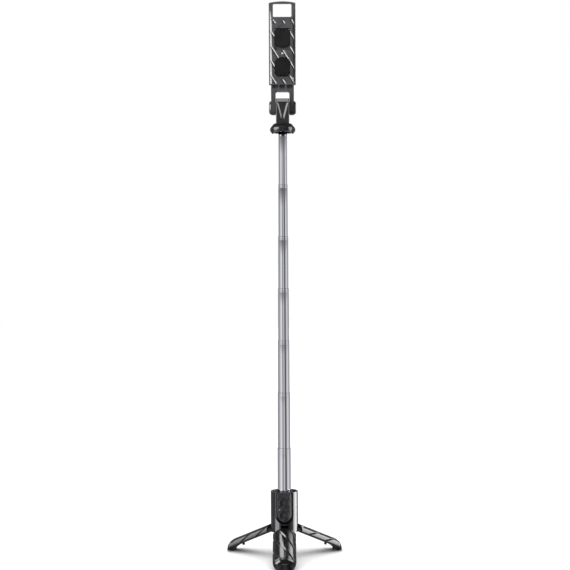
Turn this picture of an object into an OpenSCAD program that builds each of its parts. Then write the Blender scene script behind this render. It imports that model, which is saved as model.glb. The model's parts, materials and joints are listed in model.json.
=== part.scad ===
// Telescopic selfie stick with a fold-out tripod handle, a tilting phone clip and a lift-out remote.
// The floor is z = 0, the stick's axis is x = 0, y = 0, and the front of the clip faces -Y.
// Everything is drawn in the standing pose: legs open, tubes pulled out, clip upright, jaws folded flat.

/* [Handle] */
// Outside diameter of the handle, which the folded legs continue
handle_diameter = 38; // [36:0.5:46]
// Wall of the handle shell and of the legs
handle_wall = 2.2; // [1.8:0.1:2.6]
// Length of the handle shell, lower edge to rim
shell_length = 56; // [52:1:68]
// Width of the U-shaped bay in the handle's front
bay_width = 25.5; // [24:0.5:27]

/* [Legs] */
// Length of a leg, hinge axis to tip
leg_length = 87; // [72:1:105]
// Swing of a leg, folded to standing
leg_open_angle = 66; // [60:1:70]
// Angle each leg wraps round the handle
leg_wrap = 118; // [100:1:118]
// Radius of the rounded leg tip
tip_radius = 13; // [10:0.5:14]
// Distance of the hinge axis inside the handle's surface
hinge_inset = 5.1; // [5:0.1:5.6]
// Radius of the leg hinge knuckle
knuckle_radius = 3.2; // [2.8:0.1:3.4]
// Width of the leg hinge knuckle
knuckle_width = 9.6; // [8:0.2:10]

/* [Tubes] */
// Diameter of the lowest and widest tube
tube_diameter = 18.5; // [15:0.1:19]
// Loss of diameter from one tube to the next
tube_step = 1.1; // [1.05:0.01:1.2]
// Wall of each tube
tube_wall = 0.3; // [0.25:0.01:0.35]
// Length of the lowest tube that shows
first_reveal = 60; // [48:0.5:66]
// Length of the second tube that shows
second_reveal = 77.5; // [62:0.5:80]
// Length of each further tube that shows
tube_reveal = 72.8; // [60:0.2:76]
// Length of each tube held in the next one down
tube_overlap = 11.5; // [10:0.5:14]

/* [Head] */
// Height of the skirt that caps the tubes
collar_height = 11.9; // [10:0.1:14]
// Radius of the skirt at its widest
collar_radius = 18; // [15:0.1:18.6]
// Height of the tilt axis over the skirt
pivot_rise = 24.2; // [22:0.1:28]
// Distance of the tilt axis behind the stick's axis
pivot_offset = 11; // [10:0.1:14]
// Radius of the tilt bosses
pivot_radius = 10.3; // [9:0.1:11]
// Width of the neck between the fork arms
neck_width = 18.6; // [16:0.1:19]

/* [Phone clip] */
// Width of the clip
clip_width = 37.4; // [36:0.2:45]
// Depth of the clip, front to back
clip_depth = 14.5; // [14:0.1:17]
// Height of the clip's lower half
clip_body_height = 89.7; // [88:0.1:108]
// Height of the pull-up loop
loop_height = 25.4; // [20:0.2:32]
// Width of the jaws
jaw_width = 21.2; // [18:0.2:21.6]
// Length of a jaw past its hinge axis
jaw_reach = 24.8; // [20:0.2:26]
// Travel of the spring-loaded loop
slider_travel = 20; // [16:1:22]

/* [Remote] */
// Width of the remote
remote_width = 19; // [18:0.2:19.4]
// Length of the remote
remote_length = 40.1; // [36:0.1:42]
// Thickness of the remote
remote_thickness = 6.7; // [6:0.1:7]
// Diameter of the upper button
upper_button_diameter = 15.5; // [13:0.1:15.8]
// Diameter of the lower button
lower_button_diameter = 14.7; // [12:0.1:15]

/* [Fits] */
// Radial clearance of a shaft that turns or slides in its bore
running_gap = 0.05; // [0.02:0.01:0.1]
// Gap between parts that move past each other
moving_gap = 0.3; // [0.3:0.05:0.4]
// Gap between parts fixed to each other
seat_gap = 0.05; // [0.02:0.01:0.1]

/* [Hidden] */
$fn = 64;
big = 400;
grip_r = handle_diameter / 2;
bore_r = grip_r - handle_wall;
leg_turns = [-90, 30, 150];
hinge_r = grip_r - hinge_inset;
foot_drop = 6.6;
hinge_z = leg_length * cos(leg_open_angle) + foot_drop;
shell_drop = 6;
shell_z = hinge_z - shell_drop;
rim_z = shell_z + shell_length;
notch_w = knuckle_width + 2 * moving_gap;
notch_z = hinge_z + knuckle_radius + 1.5;
pin_r = 1;
leg_pin_half = min(sqrt(pow(bore_r - 0.2, 2) - pow(hinge_r + pin_r, 2)), 8);
swing_r = sqrt(pow(hinge_inset, 2) + pow(shell_drop, 2)) + moving_gap;
leg_tip_z = hinge_z - leg_length;
tip_hole_r = 3;
foot_w = 11;
foot_l = 9.4;
tread_t = 1.2;
leg_groove_start = -10.4;
leg_groove_pitch = 28.6;
leg_groove_angle = 58;
// Width and depth of the two steps of each groove
leg_groove_steps = [[2.4, 0.5], [1.2, 1]];

tube_count = 7;
bush_t = tube_step / 2 - tube_wall - running_gap;
bush_l = tube_overlap - 3;
lip_l = 2;
rest_gap = 0.4;
sleeve_r = tube_diameter / 2 + tube_step / 2 - tube_wall;
sleeve_t = 0.9;
sleeve_or = sleeve_r + sleeve_t;
first_tube_l = first_reveal + 26;
sleeve_z = rim_z - max(first_tube_l, second_reveal + tube_overlap - 3) - 0.2;
cap_t = 2.2;
collar_z = tube_top(tube_count);
tube_7_top = collar_z + 6.2;

collar_top = collar_z + collar_height;
collar_rim_r = collar_radius - 1.5;
shoulder_r = 12.2;
lug_r = 14;
stem_r = 9;
stud_r = 4;
pivot_z = collar_top + pivot_rise;
pivot_y = pivot_offset;
bolt_r = 2.5;
neck_h = neck_width / 2;
arm_in = neck_h + 0.35;
arm_out = arm_in + 6.25;
cap_out = arm_out + 3.2;

clip_h = clip_width / 2;
front_y = pivot_y - clip_depth - 8.5;
back_y = front_y + clip_depth;
body_z = pivot_z + 30.2;
body_top = body_z + clip_body_height;
web_h = 9.7;
gap_round = 3.4;
slide_z = body_top + moving_gap;
loop_top = slide_z + loop_height;
jaw_h = jaw_width / 2;
barrel_r = 1.8;
jaw_t = 2.8;
pad_t = 1.2;
jaw_round = 12.2;
jaw_y = front_y + barrel_r;
jaw_back_y = front_y + jaw_t;
pad_back_y = jaw_back_y + pad_t;
pocket_y = pad_back_y + moving_gap;
plate_y = pocket_y + 3.4;
channel_y = plate_y + moving_gap;
jaw_lower_z = body_z + 12.2;
jaw_upper_z = body_top - 14.2;
plate_h = jaw_h + moving_gap;
channel_h = plate_h + moving_gap;
channel_z = jaw_upper_z - jaw_reach - 4;
ear_in = jaw_h - 1.6;
barrel_h = ear_in - moving_gap;
rod_x = (channel_h + clip_h) / 2 - 0.05;
rod_y = front_y + clip_depth / 2;
rod_r = 1.3;
spring_bore_r = 2.7;
spring_top = body_top - 14.5;
spring_l = slider_travel * 2;
rod_foot_z = spring_top - spring_l - 2.6;
groove_pitch = 12.9;
groove_angle = 58;
groove_w = 1.7;
groove_d = 1.35;
notch_d = 0.8;
thumb_r = 7;
thumb_d = 1.1;
loop_arch_r = 81;

remote_h = remote_width / 2;
remote_top = rim_z - 0.4;
remote_z = remote_top - remote_length;
remote_fit = 0.2;
bay_back_y = -(sleeve_or + 0.1);
bay_floor_t = 0.9;
remote_back_y = bay_back_y - bay_floor_t - 0.15;
remote_front_y = remote_back_y - remote_thickness;
remote_split_y = remote_back_y - 2.2;
upper_button_z = remote_top - 13.9;
lower_button_z = remote_z + 9.6;
button_rise = 0.7;
button_gap = 0.15;
skin_t = 1.4;

// Height of the top of tube i, which for the last tube is the foot of the skirt
function tube_top(i) = rim_z + first_reveal + (i > 1 ? second_reveal : 0) + max(i - 2, 0) * tube_reveal;
function tube_r(i) = (tube_diameter - (i - 1) * tube_step) / 2;
function tube_foot(i) = i == 1 ? tube_top(1) - first_tube_l : tube_top(i - 1) - tube_overlap;

// ---------- shared shapes ----------

// Ring from radius a to radius b, between heights z0 and z1
module ring(a, b, z0, z1) {
  translate([0, 0, z0])
    difference() {
      cylinder(r = b, h = z1 - z0);
      translate([0, 0, -1])
        cylinder(r = a, h = z1 - z0 + 2);
    }
}

// Rounded rectangle from corner p to corner q with corner radius r
module rounded(p, q, r) {
  union() {
    translate([p[0] + r, p[1]])
      square([q[0] - p[0] - 2 * r, q[1] - p[1]]);
    translate([p[0], p[1] + r])
      square([q[0] - p[0], q[1] - p[1] - 2 * r]);
    for (x = [p[0] + r, q[0] - r], y = [p[1] + r, q[1] - r])
      translate([x, y])
        circle(r = r);
  }
}

// A drawing in x and z, given depth from y0 to y1
module front_plate(y0, y1) {
  translate([0, y1, 0])
    rotate([90, 0, 0])
      linear_extrude(height = y1 - y0)
        children();
}

// A drawing in y and z, given width from x0 to x1
module side_plate(x0, x1) {
  translate([x0, 0, 0])
    rotate([90, 0, 90])
      linear_extrude(height = x1 - x0)
        children();
}

// Cylinder along x, centred on y and z, from x0 to x1
module x_rod(r, y, z, x0, x1) {
  translate([x0, y, z])
    rotate([0, 90, 0])
      cylinder(r = r, h = x1 - x0);
}

// Cylinder along y, centred on x and z, from y0 to y1
module y_rod(r, x, z, y0, y1) {
  translate([x, y1, z])
    rotate([90, 0, 0])
      cylinder(r = r, h = y1 - y0);
}

// ---------- handle ----------

// U shape of half width h whose foot is at z, open upward to z1
module u_shape(h, z, z1) {
  union() {
    translate([0, z + h])
      circle(r = h);
    translate([-h, z + h])
      square([2 * h, z1 - z - h]);
  }
}

module handle_shell() {
  color([0.03, 0.03, 0.035])
    difference() {
      ring(bore_r, grip_r, shell_z, rim_z);
      front_plate(-grip_r - 1, 0)
        u_shape(bay_width / 2, remote_z - (bay_width - remote_width) / 2, rim_z + 1);
      for (a = leg_turns)
        rotate([0, 0, a])
          translate([bore_r - 3, -notch_w / 2, shell_z - 1])
            cube([handle_wall + 4, notch_w, notch_z - shell_z + 1]);
    }
}

module handle_sleeve() {
  color([0.6, 0.6, 0.62])
    union() {
      ring(sleeve_r, sleeve_or, sleeve_z, rim_z - 0.5);
      ring(tube_r(1) + running_gap, sleeve_or, rim_z - 0.5 - lip_l, rim_z - 0.5);
    }
}

module sleeve_cap() {
  color([0.05, 0.05, 0.055])
    union() {
      translate([0, 0, sleeve_z - cap_t])
        cylinder(r = sleeve_or, h = cap_t);
      ring(sleeve_or + seat_gap, sleeve_or + 1.1, sleeve_z - cap_t, sleeve_z + 4);
      ring(sleeve_or - 0.5, sleeve_or + 1.1, sleeve_z - cap_t, sleeve_z);
    }
}

module rim_ring() {
  color([0.04, 0.04, 0.045])
    difference() {
      ring(sleeve_or + seat_gap, bore_r - seat_gap, rim_z - 3.6, rim_z - 1.2);
      front_plate(-big, bay_back_y + 0.2)
        translate([-bay_width / 2 - 0.3, 0])
          square([bay_width + 0.6, big]);
      for (s = [-1, 1])
        translate([s * lug_r - 1.7, -2.3, rim_z - 4])
          cube([3.4, 4.6, 6]);
    }
}

module hinge_hub() {
  color([0.05, 0.05, 0.055])
    difference() {
      ring(sleeve_or + seat_gap, bore_r - seat_gap, shell_z + 0.2, notch_z + 3);
      front_plate(-grip_r - 1, bay_back_y + 0.2)
        u_shape(bay_width / 2, remote_z - (bay_width - remote_width) / 2, rim_z + 1);
      for (a = leg_turns)
        rotate([0, 0, a]) {
          translate([0, -notch_w / 2, shell_z - 1])
            cube([grip_r, notch_w, notch_z - shell_z + 1]);
          translate([hinge_r, 0, hinge_z])
            rotate([90, 0, 0])
              cylinder(r = pin_r + seat_gap, h = 2 * leg_pin_half + 0.1, center = true);
        }
      for (a = leg_turns)
        rotate([0, 0, a + 60])
          translate([(sleeve_or + bore_r) / 2, 0, shell_z])
            union() {
              cylinder(r = 0.9 + seat_gap, h = 11);
              cylinder(r = 1.9 + seat_gap, h = 1.6);
            }
    }
}

module hub_screws() {
  color([0.5, 0.5, 0.52])
    for (a = leg_turns)
      rotate([0, 0, a + 60])
        translate([(sleeve_or + bore_r) / 2, 0, shell_z + 0.3])
          difference() {
            union() {
              cylinder(r = 0.9, h = 9.5);
              cylinder(r = 1.9, h = 1.2);
            }
            translate([-1.2, -0.2, -1])
              cube([2.4, 0.4, 1.5]);
            translate([-0.2, -1.2, -1])
              cube([0.4, 2.4, 1.5]);
          }
}

module leg_pins() {
  color([0.6, 0.6, 0.62])
    for (a = leg_turns)
      rotate([0, 0, a])
        translate([hinge_r, 0, hinge_z])
          rotate([90, 0, 0])
            cylinder(r = pin_r, h = 2 * leg_pin_half, center = true);
}

module remote_bay() {
  u_out = bay_width / 2 - 0.1;
  u_in = remote_h + remote_fit;
  foot = remote_z - remote_fit;
  color([0.04, 0.04, 0.045])
    difference() {
      intersection() {
        front_plate(-grip_r, bay_back_y)
          u_shape(u_out, foot - (u_out - u_in), rim_z - 0.5);
        cylinder(r = grip_r - 0.5, h = rim_z);
      }
      front_plate(-grip_r - 1, bay_back_y - bay_floor_t)
        u_shape(u_in, foot, rim_z + 1);
      front_plate(-grip_r - 1, -(grip_r - 4.4))
        u_shape(u_in + 1.3, foot - 1.3, rim_z + 1);
    }
}

// ---------- legs ----------

// Half section of the folded legs' outline, radius r, rounded at its lower end
module leg_outline(r, z, top, round) {
  union() {
    translate([0, z + round])
      square([r, top - z - round]);
    translate([0, z])
      square([r - round, round + 0.5]);
    translate([r - round, z + round])
      intersection() {
        circle(r = round);
        translate([0, -round])
          square([round, round + 0.5]);
      }
  }
}

// Carries a leg drawn folded to its standing pose, in direction a
module stand_leg(a) {
  rotate([0, 0, a])
    translate([hinge_r, 0, hinge_z])
      rotate([0, -leg_open_angle, 0])
        translate([-hinge_r, 0, -hinge_z])
          children();
}

module leg_shell(a) {
  difference() {
    folded_shell_standing(a);
    translate([-big, -big, -big])
      cube([2 * big, 2 * big, big + tread_t]);
  }
}

// The shell before its tip is cut level with the tread
module folded_shell_standing(a) {
  stand_leg(a)
    difference() {
      union() {
        difference() {
          rotate([0, 0, -leg_wrap / 2])
            rotate_extrude(angle = leg_wrap)
              difference() {
                leg_outline(grip_r, leg_tip_z, shell_z - moving_gap, tip_radius);
                leg_outline(bore_r, leg_tip_z + handle_wall, shell_z + 1, tip_radius - handle_wall);
                translate([0, leg_tip_z - 1])
                  square([tip_hole_r, 10]);
              }
          translate([hinge_r, 0, hinge_z])
            rotate([90, 0, 0])
              cylinder(r = swing_r, h = 3 * grip_r, center = true);
          for (w = leg_groove_steps)
            intersection() {
              ring(grip_r - w[1], grip_r + 1, leg_tip_z + tip_radius + 0.5, shell_z);
              for (i = [0:3])
                translate([grip_r, 0, shell_z - leg_groove_start - leg_groove_pitch * i])
                  rotate([90 - leg_groove_angle, 0, 0])
                    cube([20, w[0], big], center = true);
            }
        }
        translate([hinge_r, 0, hinge_z])
          rotate([90, 0, 0])
            cylinder(r = knuckle_radius, h = knuckle_width, center = true);
        intersection() {
          translate([hinge_r - 0.5, -knuckle_width / 2, hinge_z - shell_drop - 9])
            cube([bore_r - hinge_r + 1, knuckle_width, shell_drop + 9]);
          cylinder(r = bore_r + 0.5, h = big);
        }
      }
      translate([hinge_r, 0, hinge_z])
        rotate([90, 0, 0])
          cylinder(r = pin_r + running_gap, h = 3 * grip_r, center = true);
    }
}

// The tread meets the floor flat when the leg stands open
module leg_foot(a) {
  reach = hinge_r + leg_length * sin(leg_open_angle);
  intersection() {
    rotate([0, 0, a])
      translate([reach - foot_l - 2.2, 0, 0])
        linear_extrude(height = 30)
          rounded([0, -foot_w / 2], [foot_l, foot_w / 2], 1.5);
    stand_leg(a)
      rotate_extrude()
        leg_outline(bore_r - 0.02, leg_tip_z + handle_wall + 0.02, shell_z, tip_radius - handle_wall);
  }
}

module leg_peg(a) {
  stand_leg(a)
    translate([tip_hole_r + 2.6, 0, leg_tip_z + 25.5])
      rotate([0, 90, 0])
        union() {
          cylinder(r = 1.9, h = bore_r - tip_hole_r - 2.7);
          translate([0, 0, bore_r - tip_hole_r - 5.4])
            cylinder(r1 = 1.9, r2 = 2.9, h = 2.4);
        }
}

module leg_front_shell() {
  color([0.03, 0.03, 0.035])
    leg_shell(leg_turns[0]);
}

module leg_front_foot() {
  color([0.06, 0.06, 0.06])
    leg_foot(leg_turns[0]);
}

module leg_front_peg() {
  color([0.06, 0.06, 0.065])
    leg_peg(leg_turns[0]);
}

module leg_right_shell() {
  color([0.03, 0.03, 0.035])
    leg_shell(leg_turns[1]);
}

module leg_right_foot() {
  color([0.06, 0.06, 0.06])
    leg_foot(leg_turns[1]);
}

module leg_right_peg() {
  color([0.06, 0.06, 0.065])
    leg_peg(leg_turns[1]);
}

module leg_left_shell() {
  color([0.03, 0.03, 0.035])
    leg_shell(leg_turns[2]);
}

module leg_left_foot() {
  color([0.06, 0.06, 0.06])
    leg_foot(leg_turns[2]);
}

module leg_left_peg() {
  color([0.06, 0.06, 0.065])
    leg_peg(leg_turns[2]);
}

// ---------- tubes ----------

// Tube i with its rolled-in lip, which guides the next tube
module tube(i) {
  top = i < tube_count ? tube_top(i) : tube_7_top;
  r = tube_r(i);
  color([0.78, 0.78, 0.82])
    union() {
      ring(r - tube_wall, r, tube_foot(i), top);
      if (i < tube_count)
        ring(tube_r(i + 1) + running_gap, r - 0.1, top - lip_l, top);
    }
}

// Bush on the foot of tube i
module bush(i) {
  color([0.12, 0.12, 0.12])
    ring(tube_r(i), tube_r(i) + bush_t, tube_foot(i), tube_foot(i) + bush_l);
}

// ---------- head ----------

module swivel_plug() {
  color([0.55, 0.55, 0.57])
    difference() {
      union() {
        translate([0, 0, tube_7_top - 12])
          cylinder(r = tube_r(tube_count) - tube_wall - 0.02, h = 12);
        translate([0, 0, tube_7_top])
          cylinder(r = tube_r(tube_count), h = 0.8);
        translate([0, 0, tube_7_top])
          cylinder(r = stud_r, h = 16);
      }
      ring(stud_r - 0.5, stud_r + 1, tube_7_top + 12, tube_7_top + 13);
    }
}

module swivel_clip() {
  color([0.5, 0.5, 0.5])
    difference() {
      ring(stud_r - 0.45, stud_r + 1.2, tube_7_top + 12.1, tube_7_top + 12.9);
      translate([0, -1, tube_7_top + 11])
        cube([stud_r + 3, 2, 3]);
    }
}

// Wedge-shaped recess in the neck's front, stepped down from its edges to its floor
module neck_scoop(face, foot, head) {
  wide = neck_h - 1.1;
  for (i = [0:2])
    front_plate(face - 1, face + 0.5 * (i + 1))
      polygon([
        [0, foot + 2 * i],
        [wide - 0.5 * i, head],
        [-wide + 0.5 * i, head]
      ]);
}

module neck() {
  stem_z = tube_7_top + 0.8 + moving_gap;
  face = 0.4 - stem_r;
  back_r = pivot_radius - 0.3;
  top = pivot_z + pivot_radius + 0.5;
  color([0.03, 0.03, 0.035])
    difference() {
      union() {
        x_rod(pivot_radius, pivot_y, pivot_z, -neck_h, neck_h);
        translate([0, 0, stem_z])
          cylinder(r = stem_r, h = pivot_z - stem_z - 10);
        intersection() {
          side_plate(-neck_h, neck_h)
            polygon([
              [face, collar_top + 0.1],
              [face, top - 5],
              [face + 2.3, top],
              [pivot_y + 2, top],
              [pivot_y + back_r * cos(40), pivot_z + back_r * sin(40)],
              [pivot_y, pivot_z],
              [pivot_y + back_r * cos(35), pivot_z - back_r * sin(35)],
              [-face, collar_top + 3],
              [-face, collar_top + 0.1]
            ]);
          translate([0, 0, collar_top])
            linear_extrude(height = 2 * pivot_rise)
              rounded([-neck_h, face], [neck_h, pivot_y + pivot_radius + 1], 1);
        }
      }
      neck_scoop(face, collar_top + 6, top - 6.4);
      x_rod(bolt_r + running_gap, pivot_y, pivot_z, -neck_h - 1, neck_h + 1);
      translate([0, 0, stem_z - 1])
        cylinder(r = stud_r + running_gap, h = 17);
      translate([0, 0, tube_7_top + 11.8])
        cylinder(r = stud_r + 1.6, h = 1.4);
    }
}

module collar_skirt() {
  color([0.03, 0.03, 0.035])
    union() {
      rotate_extrude()
        polygon([
          [11.4, collar_z],
          [collar_rim_r, collar_z],
          [collar_radius, collar_z + 3.5],
          [collar_radius - 0.6, collar_z + 6],
          [collar_radius - 2.6, collar_z + 8.6],
          [shoulder_r, collar_top],
          [stem_r + seat_gap, collar_top],
          [stem_r + seat_gap, collar_top - 4],
          [11.4, collar_top - 6]
        ]);
      for (s = [-1, 1])
        translate([s * lug_r - 1.3, -1.9, collar_z - 1.5])
          cube([2.6, 3.8, 1.6]);
    }
}

module clip_fork() {
  arm = [
    [front_y, body_z - 0.01],
    [back_y, body_z - 0.01],
    [pivot_y + pivot_radius * cos(28), pivot_z + pivot_radius * sin(28)],
    [pivot_y, pivot_z],
    [pivot_y + pivot_radius * cos(221), pivot_z + pivot_radius * sin(221)],
    [front_y, body_z - web_h]
  ];
  color([0.03, 0.03, 0.035])
    difference() {
      union() {
        for (s = [-1, 1])
          side_plate(s > 0 ? arm_in : -arm_out, s > 0 ? arm_out : -arm_in)
            union() {
              polygon(arm);
              translate([pivot_y, pivot_z])
                circle(r = pivot_radius);
            }
        translate([0, 0, body_z - web_h])
          linear_extrude(height = web_h - 0.01)
            rounded([-arm_out, front_y], [arm_out, back_y], 2.5);
        for (s = [-1, 1])
          front_plate(front_y + 2.6, back_y - 2.6)
            translate([s * (arm_in + 0.01), body_z - web_h + 0.01])
              difference() {
                translate([s > 0 ? -gap_round : 0, -gap_round])
                  square([gap_round, gap_round + 0.1]);
                translate([-s * gap_round, -gap_round])
                  circle(r = gap_round);
              }
      }
      for (x = [-10, 0, 10])
        translate([x - 4.1, front_y - 1, body_z - 6.6])
          cube([8.2, 7, 5.4]);
      x_rod(bolt_r + seat_gap, pivot_y, pivot_z, -arm_out - 1, arm_out + 1);
      for (s = [-1, 1])
        translate([s > 0 ? arm_out - 0.01 : -arm_out - 4, -big / 2, 0])
          cube([4.01, big, 1]);
    }
}

module pivot_bolt() {
  color([0.6, 0.6, 0.62])
    union() {
      x_rod(bolt_r, pivot_y, pivot_z, -arm_out, arm_out);
      for (s = [-1, 1])
        x_rod(4.4, pivot_y, pivot_z, s > 0 ? arm_out : -arm_out - 1.6, s > 0 ? arm_out + 1.6 : -arm_out);
    }
}

// Domed cover over one end of the pivot bolt, on side s
module pivot_cap(s) {
  color([0.04, 0.04, 0.045])
    translate([s * arm_out, pivot_y, pivot_z])
      rotate([0, s * 90, 0])
        rotate_extrude()
          polygon([
            [4.6, 0],
            [pivot_radius - 1, 0],
            [pivot_radius - 1, 1.2],
            [pivot_radius - 2.2, 2.6],
            [5.4, 3.2],
            [0, 3.2],
            [0, 1.8],
            [4.6, 1.8]
          ]);
}

module pivot_cap_left() {
  pivot_cap(-1);
}

module pivot_cap_right() {
  pivot_cap(1);
}

module friction_washers() {
  color([0.35, 0.35, 0.36])
    for (s = [-1, 1])
      difference() {
        x_rod(8.2, pivot_y, pivot_z, s > 0 ? neck_h + 0.08 : -arm_in + 0.02, s > 0 ? arm_in - 0.02 : -neck_h - 0.08);
        x_rod(bolt_r + seat_gap, pivot_y, pivot_z, -clip_h, clip_h);
      }
}

// ---------- phone clip ----------

// Outline of a jaw in x and z, hinge at zero, reaching down; grow widens it
module jaw_outline(grow) {
  intersection() {
    translate([-jaw_h - grow, -jaw_reach - grow])
      square([2 * (jaw_h + grow), jaw_reach + grow]);
    translate([0, jaw_round - jaw_reach])
      union() {
        circle(r = jaw_round + grow);
        translate([-jaw_round - grow, 0])
          square([2 * (jaw_round + grow), jaw_reach]);
      }
  }
}

// Slanted grooves across the clip's front, between heights z0 and z1, with a notch where each meets a side
module slant_grooves(z0, z1) {
  mid = body_z + clip_body_height / 2;
  slope = tan(groove_angle);
  intersection() {
    translate([-clip_h - 1, front_y - 1, z0])
      cube([clip_width + 2, 1 + groove_d, z1 - z0]);
    for (i = [-6:6])
      translate([i * groove_pitch + 1.3, front_y, mid])
        rotate([0, groove_angle - 90, 0])
          scale([1.35, 1, 1])
            rotate([0, 0, 45])
              cube([groove_w, groove_w, 3 * clip_body_height], center = true);
  }
  for (s = [-1, 1], i = [-6:6])
    if (notch_height(s, i, mid, slope) > z0 + 3 && notch_height(s, i, mid, slope) < z1 - 3)
      translate([s * clip_h, front_y - 1, notch_height(s, i, mid, slope)])
        rotate([0, 45, 0])
          translate([-notch_d, 0, -notch_d])
            cube([2 * notch_d, 5, 2 * notch_d]);
}

// Height at which groove i meets side s
function notch_height(s, i, mid, slope) = mid + slope * (i * groove_pitch + 1.3 - s * (clip_h - 0.8));

module clip_body() {
  color([0.03, 0.03, 0.035])
    difference() {
      translate([0, 0, body_z])
        linear_extrude(height = clip_body_height)
          rounded([-clip_h, front_y], [clip_h, back_y], 5);
      translate([-channel_h, front_y - 1, channel_z])
        cube([2 * channel_h, channel_y - front_y + 1, big]);
      front_plate(front_y - 1, pocket_y)
        translate([0, jaw_lower_z])
          mirror([0, 1])
            jaw_outline(moving_gap);
      x_rod(barrel_r + moving_gap, jaw_y, jaw_lower_z, -barrel_h - moving_gap, barrel_h + moving_gap);
      translate([-barrel_h - moving_gap, front_y - 1, jaw_lower_z - barrel_r - moving_gap])
        cube([2 * (barrel_h + moving_gap), 1 + barrel_r, barrel_r + moving_gap]);
      x_rod(0.75 + seat_gap, jaw_y, jaw_lower_z, -jaw_h - 0.8, jaw_h + 0.8);
      for (s = [-1, 1])
        translate([s * rod_x, rod_y, 0]) {
          translate([0, 0, spring_top - 1])
            cylinder(r = rod_r + running_gap, h = big);
          translate([0, 0, rod_foot_z - 3])
            cylinder(r = spring_bore_r, h = spring_top - rod_foot_z + 3);
        }
      translate([0, 0, body_z + 3.4])
        linear_extrude(height = clip_body_height - 6.8)
          rounded([-clip_h + 3, back_y - 1.6], [clip_h - 3, back_y + 3], 1);
      slant_grooves(body_z, body_top);
      clip_screw_holes(seat_gap);
      y_rod(thumb_r, 0, jaw_lower_z + 0.9, front_y - 1, front_y + thumb_d);
    }
  // Bridges between the jaw pocket and the ears that hold the lower jaw's pin
  color([0.03, 0.03, 0.035])
    difference() {
      for (s = [-1, 1])
        jaw_ear(s, jaw_lower_z, channel_h + 0.1, -1);
      x_rod(0.75 + seat_gap, jaw_y, jaw_lower_z, -jaw_h - 2, jaw_h + 2);
    }
}

// Ear beside the jaw barrel on side s, at hinge height z, out to x, with its jaw on side t
module jaw_ear(s, z, x, t) {
  side_plate(s > 0 ? ear_in : -x, s > 0 ? x : -ear_in)
    union() {
      translate([jaw_y, z])
        circle(r = barrel_r);
      translate([jaw_y, z - 2.4])
        square([pocket_y + 0.2 - jaw_y, 4.8]);
    }
}

// The clip's screws, or with a gap their holes
module clip_screw_holes(gap) {
  spots = [[0, channel_z - 4.3], [clip_h - 4.4, body_z + 7.1]];
  for (p = spots)
    union() {
      y_rod(0.9 + gap, p[0], p[1], front_y - 0.2, front_y + 9 + gap);
      y_rod(1.6 + gap, p[0], p[1], front_y - (gap > 0 ? 1 : -0.2), front_y + 1.2 + gap);
    }
}

module clip_screws() {
  color([0.5, 0.5, 0.52])
    intersection() {
      clip_screw_holes(0);
      translate([-clip_h, front_y + 0.2, 0])
        cube([clip_width, clip_depth, 2 * big]);
    }
}

module clip_back() {
  color([0.04, 0.04, 0.045])
    translate([0, 0, body_z + 3.6])
      linear_extrude(height = clip_body_height - 7.2)
        rounded([-clip_h + 3.2, back_y - 1.5], [clip_h - 3.2, back_y], 0.7);
}

module clip_slider() {
  loop_mid = front_y + 6;
  color([0.03, 0.03, 0.035])
    difference() {
      union() {
        intersection() {
          translate([0, 0, slide_z])
            linear_extrude(height = loop_height)
              rounded([-clip_h, front_y], [clip_h, back_y], 5);
          front_plate(front_y - 1, back_y + 1)
            union() {
              intersection() {
                rounded([-clip_h, slide_z + 2], [clip_h, loop_top + 0.4], 3.4);
                translate([0, loop_top - loop_arch_r])
                  circle(r = loop_arch_r);
              }
              translate([-clip_h, slide_z])
                square([clip_width, 12]);
            }
          side_plate(-clip_h, clip_h)
            polygon([
              [front_y, slide_z],
              [back_y, slide_z],
              [back_y, slide_z + 6],
              [loop_mid + 2.5, loop_top],
              [loop_mid - 2.5, loop_top],
              [front_y, slide_z + 6]
            ]);
        }
        translate([-plate_h, pocket_y, channel_z + moving_gap])
          cube([2 * plate_h, plate_y - pocket_y, slide_z - channel_z]);
        translate([-plate_h, front_y, jaw_upper_z + barrel_r + moving_gap])
          cube([2 * plate_h, plate_y - front_y, slide_z - jaw_upper_z - barrel_r]);
        for (s = [-1, 1])
          jaw_ear(s, jaw_upper_z, plate_h, 1);
      }
      front_plate(front_y - 1, back_y + 1)
        rounded([-clip_h + 5.8, slide_z + 3], [clip_h - 5.8, loop_top - 2.6], 1.7);
      y_rod(thumb_r, 0, jaw_upper_z - 0.9, front_y - 1, front_y + thumb_d);
      x_rod(barrel_r + moving_gap, jaw_y, jaw_upper_z, -ear_in, ear_in);
      x_rod(0.75 + seat_gap, jaw_y, jaw_upper_z, -plate_h - 1, plate_h + 1);
      for (s = [-1, 1])
        translate([s * rod_x, rod_y, slide_z - 1])
          cylinder(r = rod_r + seat_gap, h = 9);
      intersection() {
        slant_grooves(jaw_upper_z + 6, slide_z + 3);
        translate([-plate_h - 0.1, -big / 2, jaw_upper_z + 8.4])
          cube([2 * plate_h + 0.2, big, 4]);
      }
    }
}

module guide_rods() {
  color([0.7, 0.7, 0.72])
    for (s = [-1, 1])
      translate([s * rod_x, rod_y, 0])
        union() {
          translate([0, 0, rod_foot_z])
            cylinder(r = rod_r, h = slide_z + 7.5 - rod_foot_z);
          translate([0, 0, rod_foot_z])
            cylinder(r = 2.3, h = 2.4);
        }
}

// Each coil is a ring, and a thin bar along the coils joins them
module clip_springs() {
  coils = 12;
  step = (spring_l - 0.9) / (coils - 1);
  color([0.6, 0.6, 0.6])
    for (s = [-1, 1])
      translate([s * rod_x, rod_y, rod_foot_z + 2.9])
        union() {
          for (i = [0:coils - 1])
            translate([0, 0, i * step])
              rotate_extrude()
                translate([2, 0])
                  circle(r = 0.32);
          translate([2, 0, 0])
            cylinder(r = 0.25, h = spring_l - 0.9);
        }
}

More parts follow.
